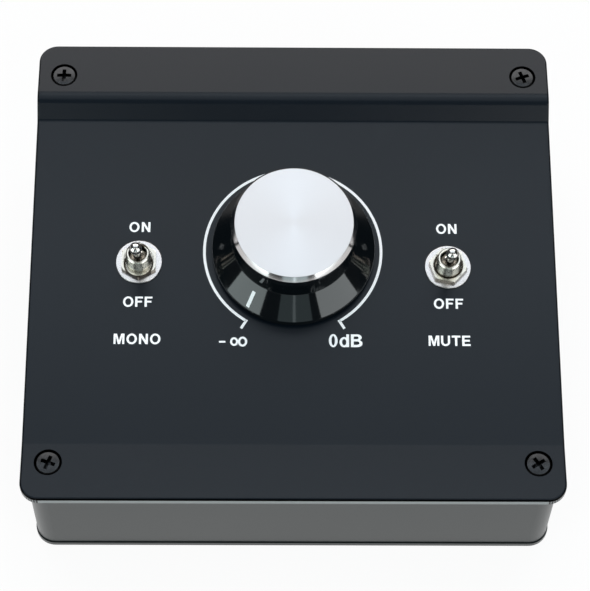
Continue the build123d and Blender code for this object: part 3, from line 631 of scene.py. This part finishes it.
def makeBushing(name, centre):  # a threaded tube on the strap under the panel, drilled for the pivot pin
    crest, bore, deep = toggle["thread"], toggle["bore"], toggle["threadDeep"]
    foot, top, pitch, rim = -toggle["cover"], toggle["top"], toggle["pitch"], toggle["rim"]
    wide, long, thick = toggle["strap"]
    outline = [(bore, foot), (crest, foot), (crest, -toggle["fit"]), (barrelRadius(0), 0)]
    turns = int((top - rim) / pitch)
    for turn in range(turns):
        height = top - rim - (turns - turn) * pitch
        outline += [(barrelRadius(height) - drop * deep, height + rise * pitch)
                    for rise, drop in ((0.05, 0), (0.5, 1), (0.95, 0))]
    neck = barrelRadius(top)
    lip, under, edge = toggle["lip"], top - toggle["lipTall"], toggle["lipEdge"]
    outline += [(neck, top - rim), (neck - rim * 0.7, top), (lip + edge, top), (lip, top - edge)]
    outline += [(lip, under), (bore, under - (bore - lip))]
    bm = bmesh.new()
    lathe(bm, outline)
    cutter = bmesh.new()
    across = Matrix.Translation((0, 0, toggle["pivot"])) @ Matrix.Rotation(full / 4, 4, "Y")
    bmesh.ops.create_cone(cutter, cap_ends=True, segments=32, radius1=toggle["pin"], radius2=toggle["pin"],
                          depth=3 * crest, matrix=across)
    bm = carve(bm, cutter)
    plate, hole = bmesh.new(), bmesh.new()
    block(plate, (wide, long, thick), (0, 0, foot - thick / 2))
    bmesh.ops.create_cone(hole, cap_ends=True, segments=96, radius1=bore, radius2=bore, depth=3 * thick,
                          matrix=Matrix.Translation((0, 0, foot - thick / 2)))
    plate = carve(plate, hole)
    soften(plate, toggle["strapEdge"])
    addCopy(bm, plate, Matrix.Identity(4))
    plate.free()
    finishPiece(name + "_threaded_bushing", bm, "bright_nickel", "case", [name + "_bushing"], seatOn(centre),
                finishes["nut_nickel"])


def makeLever(name, pivot):  # nib, joint ball, tapered stem and ball tip
    joint, tip, nib, length = toggle["joint"], toggle["tip"], toggle["nib"], toggle["length"]
    low = -math.degrees(math.acos(nib / joint))
    high = math.degrees(math.acos(toggle["root"] / joint))
    under = -math.degrees(math.acos(toggle["neck"] / tip))
    end, edge = toggle["nibEnd"], toggle["nibEdge"]
    outline = [(0, end), (nib - edge, end), (nib, end + edge)]
    outline += bow(0, 0, joint, low, high, 24) + bow(0, length, tip, under, 90, 24)
    outline[-1] = (0, length + tip)
    bm = bmesh.new()
    lathe(bm, outline, 64)
    lean = Matrix.Rotation(math.radians(toggle["tilt"]), 4, "X")
    finishPiece(name + "_ball_lever", bm, "bright_nickel", name + "_toggle", [name + "_lever"],
                seatOn(pivot) @ lean, sharp=50)


def makeToggles():
    for name in ("mono", "mute"):
        pivot = Vector(joints[name + "_throw"]["pos_m"])
        centre = pivot - panelUp * toggle["pivot"] * mm
        makeWasher(name, centre)
        makeNut(name, centre)
        makeBushing(name, centre)
        makeLever(name, pivot)


# screws and feet

screw = {"seat": 2.75, "rim": 0.2, "edge": 0.09, "dome": 0.2, "shank": 1.45, "point": 0.3,
         "slot": 1.05, "span": 4.0, "deep": 2.2, "taper": 0.72}
screwSets = {
    "cover": {"node": "cover_screws", "head": 2.97, "long": 8.0, "sunk": -0.08, "turns": (0, 20, 70, 33)},
    "base": {"node": "base_screws", "head": 2.75, "long": 6.0, "sunk": 0.2, "turns": (15, 50, 70, 40)},
    "socket": {"node": "socket_screws", "head": 2.75, "long": 7.0, "sunk": 0.2,
               "turns": (10, 65, 35, 80, 20, 55, 5, 45)},
}
sockets = ("input_shell_left", "input_shell_right", "output_shell_left", "output_shell_right")
flange = {"screwAcross": 9.5, "screwUp": 12.0}
foot = {"radius": 5.5, "tall": 2.5, "edge": 1.0}


def screwShape(head, length, sunk):  # countersunk and slightly domed, with a tapered cross recess
    shank, rim, dome = screw["shank"], screw["rim"], screw["dome"]
    flat, edge = head - screw["edge"], screw["edge"]
    curve = (flat ** 2 + dome ** 2) / (2 * dome)
    outline = [(0, -length), (shank - screw["point"], -length), (shank, screw["point"] - length),
               (shank, shank - head - rim - sunk), (head, -rim - sunk)]
    outline += bow(flat, -edge - sunk, edge, 0, 80, 5)
    outline += bow(0, dome - sunk - curve, curve, math.degrees(math.acos(flat / curve)), 90, 8)
    outline[-1] = (0, dome - sunk)
    bm = bmesh.new()
    lathe(bm, outline, 64)
    cross = bmesh.new()
    bmesh.ops.create_grid(cross, x_segments=3, y_segments=3, size=1.5)
    corners = [face for face in cross.faces if min(abs(part) for part in face.calc_center_median().xy) > 0.9]
    bmesh.ops.delete(cross, geom=corners, context="FACES")
    for vert in cross.verts:
        for axis in range(2):
            reach = screw["span"] if abs(vert.co[axis]) > 1 else screw["slot"]
            vert.co[axis] = math.copysign(reach / 2, vert.co[axis])
    made = bmesh.ops.extrude_face_region(cross, geom=list(cross.faces))["geom"]
    under = [item for item in made if isinstance(item, bmesh.types.BMVert)]
    bmesh.ops.translate(cross, verts=cross.verts, vec=(0, 0, 2 * dome - sunk))
    bmesh.ops.translate(cross, verts=under, vec=(0, 0, -screw["deep"] - 2 * dome))
    bmesh.ops.scale(cross, verts=under, vec=(screw["taper"], screw["taper"], 1))
    bmesh.ops.recalc_face_normals(cross, faces=cross.faces)
    return carve(bm, cross)


def screwSeats(name):  # each screw's place, from the boxes of the nodes that hold them
    low, high = (Vector(corner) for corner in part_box(screwSets[name]["node"]))
    inset = screw["seat"] * mm
    sides = (low.x + inset, high.x - inset)
    if name == "cover":
        front = low.z + screwSets[name]["long"] * mm
        spots = [(x, high.y - inset, high.z) for x in sides] + [(x, low.y + inset, front) for x in sides]
        return [seatOn(Vector(spot), Vector((0, 0, 1)), Vector((0, 1, 0))) for spot in spots]
    if name == "base":
        spots = [(x, y, low.z) for y in (high.y - inset, low.y + inset) for x in sides]
        return [seatOn(Vector(spot), Vector((0, 0, -1)), Vector((0, 1, 0))) for spot in spots]
    seats = []
    for node in sockets:
        corners = [Vector(corner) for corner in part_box(node)]
        middle = (corners[0] + corners[1]) / 2
        for side in (-1, 1):
            across, up = side * flange["screwAcross"] * mm, side * flange["screwUp"] * mm
            spot = Vector((middle.x - across, high.y, middle.z - up))
            seats.append(seatOn(spot, Vector((0, 1, 0)), Vector((0, 0, 1))))
    return seats


def makeScrews():
    for name, group in screwSets.items():
        shape = screwShape(group["head"], group["long"], group["sunk"])
        bm = bmesh.new()
        for seat, turn in zip(screwSeats(name), group["turns"]):
            addCopy(bm, shape, seat @ Matrix.Rotation(math.radians(turn), 4, "Z"))
        shape.free()
        finishPiece(name + "_screw_set", bm, "black_screw", "case", [group["node"]])


def makeFeet():
    low, high = (Vector(corner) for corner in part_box("rubber_feet"))
    reach = foot["radius"] * mm
    shape = bmesh.new()
    edge = foot["edge"]
    outline = [(0, 0)] + bow(foot["radius"] - edge, edge, edge, -90, 0, 8)
    lathe(shape, outline + [(foot["radius"], foot["tall"]), (0, foot["tall"])], 64)
    bm = bmesh.new()
    for x in (low.x + reach, high.x - reach):
        for y in (low.y + reach, high.y - reach):
            addCopy(bm, shape, seatOn(Vector((x, y, low.z)), Vector((0, 0, 1)), Vector((0, 1, 0))))
    shape.free()
    finishPiece("soft_feet", bm, "rubber", "case", ["rubber_feet"])


# sprung metal sleeves in the input sockets' three holes

sleeve = {"circle": 5.3, "outer": 1.38, "inner": 1.22, "setback": 1.2, "long": 11.0, "count": 3, "edge": 0.04}


def makeSleeves():
    for node in ("input_core_left", "input_core_right"):
        low, high = (Vector(corner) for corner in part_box(node))
        face = Vector(((low.x + high.x) / 2, high.y, (low.z + high.z) / 2))
        shape = bmesh.new()
        near, far = -sleeve["setback"], -sleeve["setback"] - sleeve["long"]
        inner, outer = sleeve["inner"], sleeve["outer"]
        lathe(shape, [(inner, far), (outer, far), (outer, near), (inner, near)], 32)
        soften(shape, sleeve["edge"])
        bm = bmesh.new()
        for index in range(sleeve["count"]):
            spin = Matrix.Rotation(full * index / sleeve["count"], 4, "Z")
            addCopy(bm, shape, spin @ Matrix.Translation((0, sleeve["circle"], 0)))
        shape.free()
        seat = seatOn(face, Vector((0, 1, 0)), Vector((0, 0, 1)))
        finishPiece(node.replace("core", "contact_sleeves"), bm, "contact_metal", "case", seat=seat)


# printing on the panel, placed in mm right and up from the knob's axis

dial = {"radius": 23.565, "line": 0.72, "thick": 0.02, "end": 31.45, "tickOut": 26.1, "centre": -0.18}
words = {
    "on_mono": {"text": "ON", "right": -41.12, "up": 6.82, "wide": 5.62, "tall": 2.88},
    "off_mono": {"text": "OFF", "right": -41.15, "up": -14.8, "wide": 7.73, "tall": 2.91},
    "mono": {"text": "MONO", "right": -41.05, "up": -25.35, "wide": 12.28, "tall": 2.92},
    "on_mute": {"text": "ON", "right": 41.0, "up": 6.63, "wide": 5.5, "tall": 2.88},
    "off_mute": {"text": "OFF", "right": 41.02, "up": -15.05, "wide": 7.76, "tall": 2.88},
    "mute": {"text": "MUTE", "right": 41.02, "up": -25.58, "wide": 11.03, "tall": 2.9},
    "loud_end": {"text": "0dB", "right": 13.7, "up": -25.66, "wide": 8.82, "tall": 3.6},
}
letters = {  # each letter's width and outlines, with its height as 1
    "O": (0.94, [bow(0.47, 0.5, 0.47, 0, 350, 35, 0.515), bow(0.47, 0.5, 0.27, 0, 350, 35, 0.335)]),
    "N": (0.80, [[(0, 0), (0, 1), (0.21, 1), (0.6, 0.36), (0.6, 1), (0.8, 1), (0.8, 0), (0.59, 0),
                  (0.2, 0.64), (0.2, 0)]]),
    "F": (0.70, [[(0, 0), (0, 1), (0.7, 1), (0.7, 0.82), (0.21, 0.82), (0.21, 0.6), (0.62, 0.6), (0.62, 0.42),
                  (0.21, 0.42), (0.21, 0)]]),
    "M": (0.97, [[(0, 0), (0, 1), (0.29, 1), (0.485, 0.33), (0.68, 1), (0.97, 1), (0.97, 0), (0.78, 0),
                  (0.78, 0.76), (0.575, 0), (0.395, 0), (0.19, 0.76), (0.19, 0)]]),
    "U": (0.82, [[(0, 1)] + bow(0.41, 0.38, 0.41, 180, 360, 20, 0.395) + [(0.82, 1), (0.62, 1)]
                 + bow(0.41, 0.38, 0.21, 0, -180, 16, 0.215) + [(0.2, 1)]]),
    "T": (0.78, [[(0, 1), (0.78, 1), (0.78, 0.82), (0.492, 0.82), (0.492, 0), (0.288, 0), (0.288, 0.82),
                  (0, 0.82)]]),
    "E": (0.76, [[(0, 0), (0, 1), (0.74, 1), (0.74, 0.82), (0.21, 0.82), (0.21, 0.6), (0.69, 0.6),
                  (0.69, 0.42), (0.21, 0.42), (0.21, 0.18), (0.76, 0.18), (0.76, 0)]]),
    "0": (0.64, [bow(0.32, 0.5, 0.32, 0, 350, 35, 0.515), bow(0.32, 0.5, 0.125, 0, 350, 35, 0.365)]),
    "d": (0.70, [[(0.5, 1), (0.7, 1), (0.7, 0), (0.5, 0)] + bow(0.35, 0.385, 0.35, 295.4, 64.6, 24, 0.4),
                 bow(0.345, 0.385, 0.155, 0, 350, 35, 0.25)]),
    "B": (0.84, [[(0, 0), (0, 1)] + bow(0.46, 0.755, 0.33, 90, -50, 16, 0.245)
                 + bow(0.48, 0.285, 0.36, 62, -90, 16, 0.285),
                 [(0.21, 0.62), (0.21, 0.83)] + bow(0.44, 0.725, 0.12, 90, -90, 12, 0.105),
                 [(0.21, 0.18), (0.21, 0.45)] + bow(0.46, 0.315, 0.155, 90, -90, 12, 0.135)]),
}
quiet = {  # the endless sign and its dash at the quiet end: middles in mm from the knob's axis
    "right": -14.4, "up": -26.01, "dashRight": -18.7, "dashUp": -26.08, "dash": (1.68, 0.52),
    "loops": [  # half widths and half heights, of the outside and of the hole
        {"right": -1.18, "outer": (1.06, 1.22), "hole": (0.50, 0.66)},
        {"right": 1.06, "outer": (1.21, 1.40), "hole": (0.64, 0.83)},
    ],
    "joint": 0.4,  # half the height where the loops join
}


def printOn(name, outlines, ink):  # flat outlines in mm on the panel, given their thickness
    curve = bpy.data.curves.new(name, "CURVE")
    curve.dimensions = "2D"
    curve.fill_mode = "BOTH"
    curve.extrude = 0.5
    for outline in outlines:
        spline = curve.splines.new("POLY")
        spline.points.add(len(outline) - 1)
        for point, (right, up) in zip(spline.points, outline):
            point.co = (right, up, 0, 1)
        spline.use_cyclic_u = True
    source = bpy.data.objects.new(name, curve)
    bpy.context.scene.collection.objects.link(source)
    bm = asShape(source)
    bmesh.ops.remove_doubles(bm, verts=bm.verts, dist=1e-4)
    flat = Matrix.Translation((0, 0, dial["thick"] / 2)) @ Matrix.Diagonal((1, 1, dial["thick"], 1))
    finishPiece("print_" + name, bm, "pointer_white", "case", seat=seatOn(knobCentre) @ flat, material=ink)


def wordOutlines(word):
    tall = word["tall"]
    widths = [letters[letter][0] * tall for letter in word["text"]]
    gap = (word["wide"] - sum(widths)) / (len(widths) - 1)
    left, under = word["right"] - word["wide"] / 2, word["up"] - tall / 2
    outlines = []
    for letter, width in zip(word["text"], widths):
        for outline in letters[letter][1]:
            outlines.append([(left + x * tall, under + y * tall) for x, y in outline])
        left += width + gap
    return outlines


def endlessOutlines():
    right, up, joint = quiet["right"], quiet["up"], quiet["joint"]
    outside, holes = [], []
    for loop, turned in zip(quiet["loops"], (0, 180)):
        (wide, tall), (holeWide, holeTall) = loop["outer"], loop["hole"]
        start = math.degrees(math.asin(joint / tall))
        outside += bow(right + loop["right"], up, wide, turned + start, turned + 360 - start, 36, tall)
        holes.append(bow(right + loop["right"], up, holeWide, 0, 350, 35, holeTall))
    return [outside] + holes


def printedDial(ink):  # the open ring round the knob, with an outward tick at each end
    bm = bmesh.new()
    inner, outer = dial["radius"] - dial["line"] / 2, dial["radius"] + dial["line"] / 2
    corners = [(0, -inner, 0), (0, -outer, 0), (0, -outer, dial["thick"]), (0, -inner, dial["thick"])]
    face = bm.faces.new([bm.verts.new(corner) for corner in corners])
    start = math.radians(dial["end"])
    bmesh.ops.rotate(bm, verts=bm.verts, cent=(0, 0, 0), matrix=Matrix.Rotation(start, 3, "Z"))
    bmesh.ops.spin(bm, geom=[face], cent=(0, 0, 0), axis=(0, 0, 1), angle=full - 2 * start, steps=180)
    length = dial["tickOut"] - inner
    for side in (-1, 1):
        tick = bmesh.new()
        block(tick, (dial["line"], length, dial["thick"]), (0, -inner - length / 2, dial["thick"] / 2))
        addCopy(bm, tick, Matrix.Rotation(side * start, 4, "Z"))
        tick.free()
    bmesh.ops.recalc_face_normals(bm, faces=bm.faces)
    seat = seatOn(knobCentre) @ Matrix.Translation((dial["centre"], 0, 0))
    finishPiece("printed_dial", bm, "pointer_white", "case", seat=seat, material=ink)


def makePrint():
    ink = printInk()
    printedDial(ink)
    for name, word in words.items():
        printOn(name, wordOutlines(word), ink)
    wide, tall = quiet["dash"]
    left, under = quiet["dashRight"] - wide / 2, quiet["dashUp"] - tall / 2
    dash = [(left, under), (left + wide, under), (left + wide, under + tall), (left, under + tall)]
    printOn("quiet_end", endlessOutlines() + [dash], ink)


finishes = makeFinishes()
bpy.context.scene.view_settings.view_transform = "Standard"
makeCamera()
makeFloor()
makeLamps()
makeWorld()
print("stage done")
dressNodes()
print("finishes done")
makeKnob()
print("knob done")
makeToggles()
print("toggles done")
makeScrews()
makeFeet()
makeSleeves()
print("screws, feet and sleeves done")
makePrint()
print("print done")
